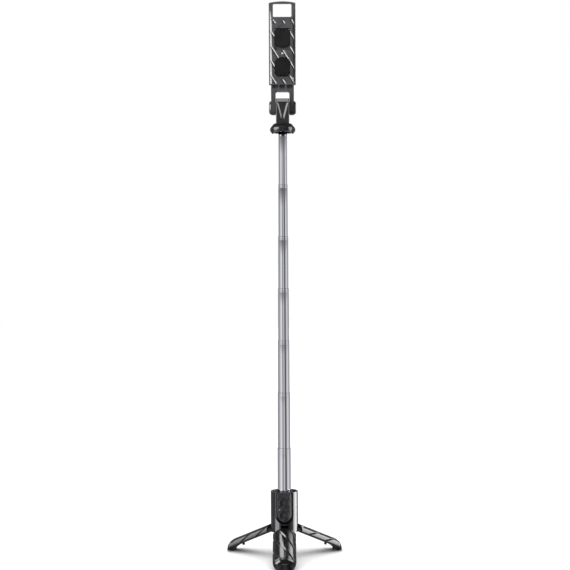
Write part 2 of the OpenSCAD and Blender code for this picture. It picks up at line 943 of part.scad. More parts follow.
// Jaw hinged at height z; up is -1 where it reaches down and 1 where it reaches up
module jaw(z, up) {
  neck_z = 3.8;
  color([0.03, 0.03, 0.035])
    difference() {
      union() {
        front_plate(front_y, jaw_back_y)
          translate([0, z])
            scale([1, -up])
              intersection() {
                jaw_outline(0);
                translate([-jaw_h, -jaw_reach])
                  square([2 * jaw_h, jaw_reach - neck_z]);
              }
        x_rod(barrel_r, jaw_y, z, -barrel_h, barrel_h);
        translate([-barrel_h, front_y, up > 0 ? z : z - neck_z - 0.1])
          cube([2 * barrel_h, jaw_t, neck_z + 0.1]);
      }
      x_rod(0.75 + running_gap, jaw_y, z, -jaw_h, jaw_h);
      for (x = [-7.5, -1.7, 3.2])
        translate([x - 0.8, front_y - 1, z - barrel_r - 0.3])
          cube([1.6, 1.7, 2 * barrel_r + 0.6]);
    }
}

module jaw_pad(z, up) {
  color([0.08, 0.08, 0.08])
    front_plate(jaw_back_y, pad_back_y)
      translate([0, z])
        scale([1, -up])
          intersection() {
            jaw_outline(-1.2);
            translate([-jaw_h, -jaw_reach])
              square([2 * jaw_h, jaw_reach - 5.2]);
          }
}

module jaw_pin(z, x) {
  color([0.7, 0.7, 0.72])
    x_rod(0.75, jaw_y, z, -x, x);
}

module jaw_upper() {
  jaw(jaw_upper_z, -1);
}

module jaw_lower() {
  jaw(jaw_lower_z, 1);
}

module jaw_pad_upper() {
  jaw_pad(jaw_upper_z, -1);
}

module jaw_pad_lower() {
  jaw_pad(jaw_lower_z, 1);
}

module jaw_pin_upper() {
  jaw_pin(jaw_upper_z, plate_h - 0.1);
}

module jaw_pin_lower() {
  jaw_pin(jaw_lower_z, jaw_h + 0.2);
}

// ---------- remote ----------

// Outline of the remote in x and z, drawn in by inset
module remote_outline(inset) {
  union() {
    translate([0, remote_z + remote_h])
      circle(r = remote_h - inset);
    translate([-remote_h + inset, remote_z + remote_h])
      square([2 * (remote_h - inset), remote_length - remote_h - 1.5 - inset]);
    rounded([-remote_h + inset, remote_z + remote_h], [remote_h - inset, remote_top - inset], 1.2);
  }
}

module remote_case() {
  color([0.04, 0.04, 0.045])
    difference() {
      front_plate(remote_front_y, remote_split_y)
        remote_outline(0);
      front_plate(remote_front_y + skin_t, remote_split_y + 1)
        remote_outline(skin_t);
      y_rod(upper_button_diameter / 2 + button_gap, 0, upper_button_z, remote_front_y - 1, remote_split_y);
      y_rod(lower_button_diameter / 2 + button_gap, 0, lower_button_z, remote_front_y - 1, remote_split_y);
      y_rod(0.8 + seat_gap, -6.6, (upper_button_z + lower_button_z) / 2 - 0.8, remote_front_y - 1, remote_split_y);
    }
}

module remote_base() {
  color([0.05, 0.05, 0.055])
    union() {
      front_plate(remote_split_y, remote_back_y)
        remote_outline(0);
    }
}

module remote_board() {
  color([0.05, 0.25, 0.12])
    front_plate(remote_split_y - 1.1, remote_split_y - 0.1)
      remote_outline(skin_t + 0.3);
}

module remote_battery() {
  color([0.7, 0.7, 0.7])
    y_rod(3.4, 0, (upper_button_z + lower_button_z) / 2, remote_split_y - 2.1, remote_split_y - 1.15);
}

module led_lens() {
  color([0.5, 0.6, 0.9])
    y_rod(0.8, -6.6, (upper_button_z + lower_button_z) / 2 - 0.8, remote_front_y - 0.1, remote_front_y + 2);
}

// Dished button of radius r at height z
module button(r, z) {
  color([0.03, 0.03, 0.035])
    difference() {
      union() {
        y_rod(r, 0, z, remote_front_y - button_rise, remote_front_y + 1.1);
        y_rod(1.6, 0, z, remote_front_y, remote_split_y - 1.1 - 0.9);
      }
      y_rod(r - 1.6, 0, z, remote_front_y - button_rise - 1, remote_front_y - button_rise + 0.45);
    }
}

module button_upper() {
  button(upper_button_diameter / 2, upper_button_z);
}

module button_lower() {
  button(lower_button_diameter / 2, lower_button_z);
}

module tube_1() {
  tube(1);
}

module tube_2() {
  tube(2);
}

module tube_3() {
  tube(3);
}

module tube_4() {
  tube(4);
}

module tube_5() {
  tube(5);
}

module tube_6() {
  tube(6);
}

module tube_7() {
  tube(7);
}

module bush_1() {
  bush(1);
}

module bush_2() {
  bush(2);
}

module bush_3() {
  bush(3);
}

module bush_4() {
  bush(4);
}

module bush_5() {
  bush(5);
}

module bush_6() {
  bush(6);
}

module bush_7() {
  bush(7);
}

handle_shell();
handle_sleeve();
sleeve_cap();
rim_ring();
hinge_hub();
hub_screws();
leg_pins();
remote_bay();
leg_front_shell();
leg_front_foot();
leg_front_peg();
leg_right_shell();
leg_right_foot();
leg_right_peg();
leg_left_shell();
leg_left_foot();
leg_left_peg();
tube_1();
tube_2();
tube_3();
tube_4();
tube_5();
tube_6();
tube_7();
bush_1();
bush_2();
bush_3();
bush_4();
bush_5();
bush_6();
bush_7();
swivel_plug();
swivel_clip();
neck();
collar_skirt();
clip_fork();
clip_body();
clip_back();
clip_screws();
pivot_bolt();
pivot_cap_left();
pivot_cap_right();
friction_washers();
clip_slider();
guide_rods();
clip_springs();
jaw_upper();
jaw_pad_upper();
jaw_pin_upper();
jaw_lower();
jaw_pad_lower();
jaw_pin_lower();
remote_case();
remote_base();
remote_board();
remote_battery();
led_lens();
button_upper();
button_lower();
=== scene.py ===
"""Looks for the telescopic selfie stick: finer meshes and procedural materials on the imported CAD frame."""

import json
import math

import bmesh
import bpy
from mathutils import Matrix, Vector


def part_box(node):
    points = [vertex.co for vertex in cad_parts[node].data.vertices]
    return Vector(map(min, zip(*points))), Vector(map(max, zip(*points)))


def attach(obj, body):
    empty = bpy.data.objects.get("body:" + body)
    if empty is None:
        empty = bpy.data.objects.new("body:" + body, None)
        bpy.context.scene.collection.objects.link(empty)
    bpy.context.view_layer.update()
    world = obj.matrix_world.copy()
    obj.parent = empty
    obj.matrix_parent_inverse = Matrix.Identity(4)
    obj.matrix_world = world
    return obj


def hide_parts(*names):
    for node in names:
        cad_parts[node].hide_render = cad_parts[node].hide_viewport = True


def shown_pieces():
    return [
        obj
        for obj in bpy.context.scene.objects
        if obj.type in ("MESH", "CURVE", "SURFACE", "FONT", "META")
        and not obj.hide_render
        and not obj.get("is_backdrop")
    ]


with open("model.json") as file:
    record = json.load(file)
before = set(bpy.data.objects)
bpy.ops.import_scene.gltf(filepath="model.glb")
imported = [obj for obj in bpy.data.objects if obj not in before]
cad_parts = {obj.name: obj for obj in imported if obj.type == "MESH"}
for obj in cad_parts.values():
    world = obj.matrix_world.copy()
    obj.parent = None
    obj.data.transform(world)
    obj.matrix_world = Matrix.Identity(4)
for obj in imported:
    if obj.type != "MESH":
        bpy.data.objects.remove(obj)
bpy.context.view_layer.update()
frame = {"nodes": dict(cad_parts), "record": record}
MM = 0.001
NODES = frame["nodes"]
JOINTS = {j["name"]: j for j in frame["record"]["behaviour"]["joints"]}


# ---------------------------------------------------------------- materials

def new_material(name, colour, rough, metal=0.0, coat=0.0, coat_rough=0.08, specular=0.5):
    m = bpy.data.materials.new(name)
    m.use_nodes = True
    b = m.node_tree.nodes["Principled BSDF"]
    b.inputs["Base Color"].default_value = (*colour, 1)
    b.inputs["Roughness"].default_value = rough
    b.inputs["Metallic"].default_value = metal
    b.inputs["Coat Weight"].default_value = coat
    b.inputs["Coat Roughness"].default_value = coat_rough
    b.inputs["Specular IOR Level"].default_value = specular
    m.diffuse_color = (*colour, 1)
    return m, m.node_tree, b


def noise(tree, scale, detail=3.0, stretch=(1, 1, 1)):
    n = tree.nodes
    c = n.new("ShaderNodeTexCoord")
    p = n.new("ShaderNodeMapping")
    t = n.new("ShaderNodeTexNoise")
    p.inputs["Scale"].default_value = stretch
    t.inputs["Scale"].default_value = scale
    t.inputs["Detail"].default_value = detail
    tree.links.new(c.outputs["Object"], p.inputs["Vector"])
    tree.links.new(p.outputs["Vector"], t.inputs["Vector"])
    return t.outputs["Fac"]


def spread(tree, source, low, high):
    r = tree.nodes.new("ShaderNodeMapRange")
    r.inputs["From Min"].default_value = 0.3
    r.inputs["From Max"].default_value = 0.7
    r.inputs["To Min"].default_value = low
    r.inputs["To Max"].default_value = high
    tree.links.new(source, r.inputs["Value"])
    return r.outputs["Result"]


def two_tone(tree, source, a, b):
    r = tree.nodes.new("ShaderNodeValToRGB")
    r.color_ramp.elements[0].position = 0.35
    r.color_ramp.elements[1].position = 0.65
    r.color_ramp.elements[0].color = (*a, 1)
    r.color_ramp.elements[1].color = (*b, 1)
    tree.links.new(source, r.inputs["Fac"])
    return r.outputs["Color"]


def bump(tree, bsdf, source, strength, distance):
    b = tree.nodes.new("ShaderNodeBump")
    b.inputs["Strength"].default_value = strength
    b.inputs["Distance"].default_value = distance
    tree.links.new(source, b.inputs["Height"])
    tree.links.new(b.outputs["Normal"], bsdf.inputs["Normal"])


def plastic(name, dark, light, rough_low, rough_high, coat=0.0, specular=0.45,
            grain=1400, depth=0.000004, strength=0.05):
    """Moulded plastic: soft cloudy colour, uneven gloss and a fine moulded grain."""
    m, tree, bsdf = new_material(name, dark, rough_low, coat=coat, specular=specular)
    cloud = noise(tree, 55, 4)
    tree.links.new(two_tone(tree, cloud, dark, light), bsdf.inputs["Base Color"])
    tree.links.new(spread(tree, noise(tree, 140, 5), rough_low, rough_high), bsdf.inputs["Roughness"])
    bump(tree, bsdf, noise(tree, grain, 2), strength, depth)
    return m


def polished_steel():
    """Drawn and polished tube: faint lines along its length and slow changes of gloss."""
    m, tree, bsdf = new_material("polished_steel", (0.86, 0.86, 0.90), 0.1, metal=1.0)
    lines = noise(tree, 420, 3, stretch=(1, 1, 0.012))
    gloss = noise(tree, 30, 4, stretch=(1, 1, 0.3))
    tree.links.new(two_tone(tree, lines, (0.80, 0.80, 0.85), (0.90, 0.90, 0.94)), bsdf.inputs["Base Color"])
    tree.links.new(spread(tree, gloss, 0.06, 0.14), bsdf.inputs["Roughness"])
    bump(tree, bsdf, lines, 0.05, 0.00001)
    return m


def plain_metal(name, colour, low, high):
    m, tree, bsdf = new_material(name, colour, low, metal=1.0)
    tree.links.new(spread(tree, noise(tree, 300, 5), low, high), bsdf.inputs["Roughness"])
    dim = tuple(0.82 * c for c in colour)
    tree.links.new(two_tone(tree, noise(tree, 90, 3), dim, colour), bsdf.inputs["Base Color"])
    bump(tree, bsdf, noise(tree, 1500, 2), 0.1, 0.00001)
    return m


MATERIALS = {
    "black_gloss": plastic("black_gloss", (0.004, 0.004, 0.0045), (0.007, 0.007, 0.0075), 0.12, 0.19,
                           coat=0.1),
    "clip_plastic": plastic("clip_plastic", (0.013, 0.013, 0.014), (0.019, 0.019, 0.020), 0.2, 0.28,
                            coat=0.1),
    "jaw_plastic": plastic("jaw_plastic", (0.002, 0.002, 0.002), (0.004, 0.004, 0.004), 0.4, 0.5,
                           specular=0.06),
    "black_satin": plastic("black_satin", (0.008, 0.008, 0.009), (0.013, 0.013, 0.014), 0.34, 0.46),
    "polished_steel": polished_steel(),
    "zinc_steel": plain_metal("zinc_steel", (0.55, 0.55, 0.57), 0.25, 0.4),
    "rubber": plastic("rubber", (0.010, 0.010, 0.010), (0.018, 0.018, 0.018), 0.5, 0.7,
                      grain=1200, depth=0.00002, strength=0.3),
    "remote_plastic": plastic("remote_plastic", (0.012, 0.012, 0.013), (0.018, 0.018, 0.020), 0.26, 0.36),
    "button_plastic": plastic("button_plastic", (0.006, 0.006, 0.007), (0.010, 0.010, 0.011), 0.2, 0.28),
    "board_green": plastic("board_green", (0.01, 0.09, 0.04), (0.02, 0.14, 0.06), 0.3, 0.5),
    "led_clear": plastic("led_clear", (0.25, 0.27, 0.3), (0.32, 0.34, 0.38), 0.08, 0.16, coat=0.5),
}
SLOT_OF = {s["node"]: s["material_slot"] for s in frame["record"]["subparts"]}


def paint(obj, slot):
    obj.data.materials.clear()
    obj.data.materials.append(MATERIALS[slot])


# One flat face can't have a hole in it, so these rings keep their triangles.
RINGS = ("handle_sleeve", "sleeve_cap", "rim_ring")


def finish_cad(node, width):
    """Gives a CAD node its material, and rounds its hard edges by width in millimetres."""
    o = NODES[node]
    for s in o.material_slots:
        s.link = "OBJECT"
        s.material = MATERIALS[SLOT_OF[node]]
    for p in o.data.polygons:
        p.use_smooth = True
    weld = o.modifiers.new("weld", "WELD")
    weld.merge_threshold = 0.000002
    if node not in RINGS:
        flat = o.modifiers.new("flat", "DECIMATE")
        flat.decimate_type = "DISSOLVE"
        flat.angle_limit = math.radians(0.4)
    edges = o.modifiers.new("edges", "BEVEL")
    edges.width = width * MM
    edges.segments = 3
    edges.limit_method = "ANGLE"
    edges.angle_limit = math.radians(30)
    edges.use_clamp_overlap = True
    normals = o.modifiers.new("normals", "WEIGHTED_NORMAL")
    normals.keep_sharp = True
    normals.weight = 80


# ---------------------------------------------------------------- mesh helpers

def make(name, verts, faces, slot, body, angle=28):
    """A mesh piece that rides body, smooth except at edges sharper than angle."""
    me = bpy.data.meshes.new(name)
    me.from_pydata([tuple(v) for v in verts], [], faces)
    bm = bmesh.new()
    bm.from_mesh(me)
    bmesh.ops.remove_doubles(bm, verts=bm.verts, dist=1e-7)
    bmesh.ops.recalc_face_normals(bm, faces=bm.faces)
    bm.to_mesh(me)
    bm.free()
    for p in me.polygons:
        p.use_smooth = True
    me.set_sharp_from_angle(angle=math.radians(angle))
    o = bpy.data.objects.new(name, me)
    bpy.context.scene.collection.objects.link(o)
    paint(o, slot)
    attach(o, body)
    return o


def turned(name, profile, slot, body, sides=96, angle=28, place=None):
    """A closed profile of (radius, height) points, turned round the z axis, then carried by place."""
    verts, faces = [], []
    n = len(profile)
    for i in range(sides):
        a = 2 * math.pi * i / sides
        for r, z in profile:
            v = Vector((r * math.cos(a), r * math.sin(a), z))
            verts.append(place @ v if place else v)
    for i in range(sides):
        j = (i + 1) % sides
        for k in range(n):
            l = (k + 1) % n
            faces.append((i * n + k, j * n + k, j * n + l, i * n + l))
    return make(name, verts, faces, slot, body, angle)


def fillet(points, radius, steps=4):
    """Rounds the corners of a closed outline of (x, y) points; radius is one number or one for each point."""
    out = []
    n = len(points)
    for i, p in enumerate(points):
        r = radius[i] if isinstance(radius, (list, tuple)) else radius
        a, b, c = Vector(points[i - 1]), Vector(p), Vector(points[(i + 1) % n])
        u, v = (a - b), (c - b)
        if r <= 0 or u.length < 1e-9 or v.length < 1e-9:
            out.append(tuple(b))
            continue
        half = u.angle(v) / 2
        if half > math.radians(88):
            out.append(tuple(b))
            continue
        reach = min(r / math.tan(half), 0.48 * u.length, 0.48 * v.length)
        start, stop = b + u.normalized() * reach, b + v.normalized() * reach
        for s in range(steps + 1):
            t = s / steps
            out.append(tuple((1 - t) ** 2 * start + 2 * t * (1 - t) * b + t * t * stop))
    return out


# ---------------------------------------------------------------- tubes

TUBES = 7
TUBE_WALL = 0.3 * MM
LIP_TURN = 0.5 * MM
GROOVE_DIP = 0.14 * MM
GROOVE_SPACING = 1.55 * MM


def rolled_groove(r, z):
    """Profile of one shallow groove that is rolled into a tube of radius r at height z."""
    dip = GROOVE_DIP
    return [(r, z - 0.42 * MM), (r - dip * 0.8, z - 0.2 * MM), (r - dip, z),
            (r - dip * 0.8, z + 0.2 * MM), (r, z + 0.42 * MM)]


def rolled_rim(r, lip, inner, top):
    """Profile of a rim that turns in from radius r to radius lip."""
    return [(r, top - 0.75 * MM), (r - 0.03 * MM, top - 0.42 * MM), (r - 0.1 * MM, top - 0.18 * MM),
            (r - 0.22 * MM, top - 0.04 * MM), (r - 0.32 * MM, top), (lip + 0.04 * MM, top - 0.05 * MM),
            (lip, top - 0.2 * MM), (lip, top - 1.9 * MM), (inner, top - 2.0 * MM)]


def build_tubes():
    """Each tube has three rolled grooves near its rim, five on the widest, and a rim that turns in on all but
    the last."""
    for i in range(1, TUBES + 1):
        node = f"tube_{i}"
        lo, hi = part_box(node)
        r, top, foot = hi[0], hi[2], lo[2]
        inner = r - TUBE_WALL
        pts = [(inner, foot), (r - 0.06 * MM, foot), (r, foot + 0.15 * MM)]
        grooves = 5 if i == 1 else 3
        for k in range(grooves, 0, -1):
            pts += rolled_groove(r, top - k * GROOVE_SPACING - 0.6 * MM)
        if i < TUBES:
            pts += rolled_rim(r, r - LIP_TURN, inner, top)
        else:
            pts += [(r, top), (inner, top)]
        tube = turned(f"steel_tube_{i}", pts, "polished_steel", f"stage_{i}", sides=128, angle=40)
        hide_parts(node)


# ---------------------------------------------------------------- legs

LEGS = ("front", "right", "left")
LEG_LENGTH = 87 * MM
LEG_WALL = 2.2 * MM
LEG_HALF_TURN = math.radians(59)
LEG_COLS, LEG_ROWS = 110, 300
TIP_ROUND = 13 * MM
DOME_TURN = math.radians(84)
LEG_GAP = 0.3 * MM
SOFT_EDGE = 0.5 * MM
CROWN_STEP = 0.45 * MM
LEG_GROOVE_PITCH = 28.6 * MM
LEG_GROOVE_LEAN = 30.4 * MM
LEG_GROOVE_START = 17.3 * MM
LEG_GROOVE_DEPTH = 1.2 * MM
LEG_GROOVE_UPPER = 4.0 * MM
LEG_GROOVE_LOWER = 1.7 * MM
FLOOR_CLEARANCE = 1.2 * MM


def build_leg_shell(name, hinge, outward, across, swing):
    """A leg's curved shell: a third of a tube with slanted grooves, which ends in a dome."""
    lo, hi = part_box("handle_shell")
    grip = hi[0]
    spot = Vector(hinge["pos_m"])
    hinge_r = Vector((spot.x, spot.y, 0)).length
    tip_z = spot.z - LEG_LENGTH
    top_z = lo[2] - LEG_GAP
    swing_r = math.hypot(grip - hinge_r, 6 * MM) + LEG_GAP
    cols, rows = LEG_COLS, LEG_ROWS

    def along(k):
        """Point k of the leg's outer half section, as radius, height and the outward slope there."""
        straight = top_z - (tip_z + TIP_ROUND)
        arc = TIP_ROUND * DOME_TURN
        s = (straight + arc) * k / rows
        if s <= straight:
            return grip, top_z - s, 0.0
        a = (s - straight) / TIP_ROUND
        return grip - TIP_ROUND + TIP_ROUND * math.cos(a), tip_z + TIP_ROUND - TIP_ROUND * math.sin(a), a

    def groove(phi, z, a):
        """Depth of the slanted grooves, which have a gentle upper wall and a steep lower one."""
        if a > 0.05:
            return 0.0
        w = (z + LEG_GROOVE_LEAN * phi - LEG_GROOVE_START) % LEG_GROOVE_PITCH
        if w < LEG_GROOVE_PITCH / 2:
            w = w / LEG_GROOVE_UPPER
        else:
            w = (LEG_GROOVE_PITCH - w) / LEG_GROOVE_LOWER
        depth = LEG_GROOVE_DEPTH * max(0.0, 1 - w)
        near_tip = min(1.0, max(0.0, (z - tip_z - TIP_ROUND - 1.2 * MM) / (1.0 * MM)))
        near_top = min(1.0, max(0.0, (top_z - z) / (0.6 * MM)))
        return depth * near_tip * near_top

    def settle(r, phi, z):
        """Carries a point to the standing pose, cut back from the hinge's swing and from the floor."""
        u = r * math.cos(phi) - hinge_r
        d = spot.z - z
        if math.hypot(u, d) < swing_r:
            d = math.sqrt(max(swing_r ** 2 - u ** 2, 0))
            z = spot.z - d
        p = outward * (r * math.cos(phi)) + across * (r * math.sin(phi)) + Vector((0, 0, z))
        v = swing @ (p - spot) + spot
        return Vector((v.x, v.y, max(v.z, FLOOR_CLEARANCE)))

    outer, inner = [], []
    for k in range(rows + 1):
        r, z, a = along(k)
        crown = CROWN_STEP
        if a == 0:
            crown *= min(1.0, max(0.0, 1.1 - (z - (tip_z + TIP_ROUND)) / MM))
        for c in range(cols + 1):
            phi = -LEG_HALF_TURN + 2 * LEG_HALF_TURN * c / cols
            edge = min(1.0, (LEG_HALF_TURN - abs(phi)) / math.radians(2.4))
            soft = SOFT_EDGE * (1 - math.sqrt(max(0.0, 1 - (1 - edge) ** 2)))
            d = groove(phi, z, a) + soft + crown
            outer.append(settle(r - d * math.cos(a), phi, z + d * math.sin(a)))
            inner.append(settle(r - LEG_WALL * math.cos(a), phi, z + LEG_WALL * math.sin(a)))

    n = cols + 1
    base = len(outer)
    faces = []
    for k in range(rows):
        for c in range(cols):
            a, b = k * n + c, k * n + c + 1
            e, f = (k + 1) * n + c + 1, (k + 1) * n + c
            faces.append((a, b, e, f))
            faces.append((base + a, base + f, base + e, base + b))
    for k in range(rows):
        for c in (0, cols):
            a, f = k * n + c, (k + 1) * n + c
            faces.append((a, f, base + f, base + a))
    for c in range(cols):
        for k in (0, rows):
            a, b = k * n + c, k * n + c + 1
            faces.append((a, base + a, base + b, b))
    return make(f"leg_{name}_skin", outer + inner, faces, "black_gloss", f"leg_{name}", angle=34)


def build_knuckle(name, hinge, outward, across, swing):
    """A hinge knuckle: a rounded tongue that runs from inside the shell up round the pin."""
    spot = Vector(hinge["pos_m"])
    hinge_r = Vector((spot.x, spot.y, 0)).length
    half, round_r = 4.8 * MM, 3.2 * MM
    ring = []
    for s in range(25):
        t = math.radians(200 - 220 * s / 24)
        ring.append((round_r * math.cos(t), round_r * math.sin(t)))
    ring += [(3.0 * MM, -15 * MM), (-0.4 * MM, -15 * MM), (-0.4 * MM, -6 * MM)]
    sections = [(-half, 0.93), (-half + 0.35 * MM, 1.0), (half - 0.35 * MM, 1.0), (half, 0.93)]
    verts, faces = [], []
    for x, grow in sections:
        for u, v in ring:
            rise = v * (grow if v > -5 * MM else 1)
            p = outward * (hinge_r + u * grow) + across * x + Vector((0, 0, spot.z + rise))
            verts.append(swing @ (p - spot) + spot)
    m = len(ring)
    last = (len(sections) - 1) * m
    for s in range(0, last, m):
        for i in range(m):
            j = (i + 1) % m
            faces.append((s + i, s + j, s + m + j, s + m + i))
    faces.append(tuple(range(m)))
    faces.append(tuple(last + i for i in range(m)))
    make(f"leg_{name}_knuckle", verts, faces, "black_gloss", f"leg_{name}", angle=40)


def build_legs():
    """Three legs, each built folded down along the handle and then swung out on its hinge."""
    for name in LEGS:
        hinge = JOINTS[f"leg_{name}_hinge"]
        spot = Vector(hinge["pos_m"])
        outward = Vector((spot.x, spot.y, 0)).normalized()
        across = Vector((0, 0, 1)).cross(outward)
        swing = Matrix.Rotation(math.radians(-hinge["range_deg"][0]), 3, Vector(hinge["axis"]))
        shell = build_leg_shell(name, hinge, outward, across, swing)
        build_knuckle(name, hinge, outward, across, swing)
        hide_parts(f"leg_{name}_shell")
        finish_cad(f"leg_{name}_foot", 0.5)
        finish_cad(f"leg_{name}_peg", 0.2)


# ---------------------------------------------------------------- handle and remote

def u_path(half, foot, top, steps=48):
    """Points (x, z) of a U that is 2 * half wide, whose foot is at foot and whose arms end at top."""
    mid = foot + half
    pts = [(-half, top - (top - mid) * k / 10) for k in range(10)]
    for k in range(steps + 1):
        a = math.pi + math.pi * k / steps
        pts.append((half * math.cos(a), mid + half * math.sin(a)))
    pts += [(half, mid + (top - mid) * k / 10) for k in range(1, 11)]
    return pts


def build_bay():
    """The bay round the remote: a U-shaped lip with a crest, a step and an inner wall, and its floor."""
    lo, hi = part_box("remote_bay")
    half, foot, top = hi[0], lo[2], hi[2]
    back = hi[1]
    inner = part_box("remote_case")[1][0] + 0.2 * MM
    width = half - inner
    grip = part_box("handle_shell")[1][0]
    face = -math.sqrt((grip - 0.5 * MM) ** 2 - half ** 2)
    # Each step is a share of the lip's width, from its outside in, and a depth
    steps = [(0.0, back), (0.0, face + 0.5 * MM), (0.05, face), (0.16, face - 0.35 * MM),
             (0.34, face - 0.85 * MM), (0.46, face - 1.0 * MM), (0.58, face - 0.95 * MM),
             (0.68, face - 0.6 * MM), (0.74, face - 0.1 * MM), (0.86, face + 0.1 * MM),
             (0.96, face + 0.25 * MM), (1.0, face + 0.8 * MM), (1.0, back - 0.9 * MM)]
    verts, faces = [], []
    for part, y in steps:
        o = part * width
        verts += [(x, y, z) for x, z in u_path(half - o, foot + o, top)]
    n = len(verts) // len(steps)
    for s in range(len(steps) - 1):
        for k in range(n - 1):
            a, b = s * n + k, s * n + k + 1
            faces.append((a, b, b + n, a + n))
    # Closed behind: the floor, the back and the two top ends
    last = (len(steps) - 1) * n
    faces.append(tuple(range(last, last + n)))
    faces.append(tuple(reversed(range(0, n))))
    for k in (0, n - 1):
        faces.append(tuple(s * n + k for s in range(len(steps))))
    o = make("bay_lip", verts, faces, "black_gloss", "handle", angle=50)
    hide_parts("remote_bay")


def remote_loop(inset, half, foot, top, corner):
    """Outline of the remote, drawn in by inset: a round foot, straight sides and two small upper corners."""
    h = half - inset
    mid = foot + half
    pts = []
    for k in range(41):
        a = math.pi + math.pi * k / 40
        pts.append((h * math.cos(a), mid + h * math.sin(a)))
    r = max(corner - inset * 0.4, 0.3 * MM)
    t = top - inset
    for k in range(1, 6):
        pts.append((h, mid + (t - r - mid) * k / 5))
    for k in range(1, 9):
        a = 0.5 * math.pi * k / 8
        pts.append((h - r + r * math.cos(a), t - r + r * math.sin(a)))
    for k in range(0, 9):
        a = 0.5 * math.pi + 0.5 * math.pi * k / 8
        pts.append((-h + r + r * math.cos(a), t - r + r * math.sin(a)))
    for k in range(4, 0, -1):
        pts.append((-h, mid + (t - r - mid) * k / 5))
    return pts


def stacked(name, layers, slot, body, half, foot, top, corner=1.4 * MM, angle=40):
    """A block with the remote's outline, built from (inset, y) layers, front to back."""
    verts, faces = [], []
    for inset, y in layers:
        verts += [(x, y, z) for x, z in remote_loop(inset, half, foot, top, corner)]
    n = len(verts) // len(layers)
    for s in range(len(layers) - 1):
        for k in range(n):
            j = (k + 1) % n
            faces.append((s * n + k, s * n + j, (s + 1) * n + j, (s + 1) * n + k))
    faces.append(tuple(range(n)))
    faces.append(tuple((len(layers) - 1) * n + k for k in range(n)))
    return make(name, verts, faces, slot, body, angle)


def build_remote():
    """The remote: a case with a rolled front edge and a sunk face, its base, and two dished buttons."""
    lo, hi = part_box("remote_case")
    half, foot, top = hi[0], lo[2], hi[2]
    front, split = lo[1], hi[1]
    rings = [(5.0 * MM, front + 0.28 * MM), (1.75 * MM, front + 0.28 * MM), (1.5 * MM, front + 0.18 * MM),
             (1.3 * MM, front + 0.02 * MM), (1.1 * MM, front), (0.75 * MM, front + 0.05 * MM),
             (0.42 * MM, front + 0.22 * MM), (0.18 * MM, front + 0.5 * MM), (0.04 * MM, front + 0.85 * MM),
             (0.0, front + 1.2 * MM), (0.0, split - 0.15 * MM), (0.12 * MM, split)]
    o = stacked("remote_shell", rings, "remote_plastic", "remote", half, foot, top)
    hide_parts("remote_case")
    lo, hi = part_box("remote_base")
    rings = [(0.12 * MM, lo[1]), (0.0, lo[1] + 0.15 * MM), (0.0, hi[1] - 0.5 * MM),
             (0.15 * MM, hi[1] - 0.15 * MM), (0.5 * MM, hi[1])]
    o = stacked("remote_back", rings, "remote_plastic", "remote", half, foot, top)
    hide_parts("remote_base")
    for which in ("upper", "lower"):
        node = f"button_{which}"
        lo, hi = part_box(node)
        r = (hi[0] - lo[0]) / 2
        middle = ((lo[0] + hi[0]) / 2, lo[1], (lo[2] + hi[2]) / 2)
        place = Matrix.Translation(middle) @ Matrix.Rotation(math.radians(90), 4, "X")
        # A dish, the raised rim round it and the side
        profile = [(r * 0.80 * k / 10, -(1.15 - 1.0 * (k / 10) ** 2) * MM) for k in range(11)]
        profile += [(r * 0.83, -0.04 * MM), (r * 0.86, 0), (r * 0.91, -0.02 * MM), (r * 0.955, -0.14 * MM),
                    (r * 0.99, -0.36 * MM), (r, -0.6 * MM), (r, -1.7 * MM), (0, -1.7 * MM)]
        o = turned(f"{node}_cap", profile, "button_plastic", "key_" + which, sides=96, angle=50, place=place)
        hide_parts(node)


# ---------------------------------------------------------------- neck, skirt and caps

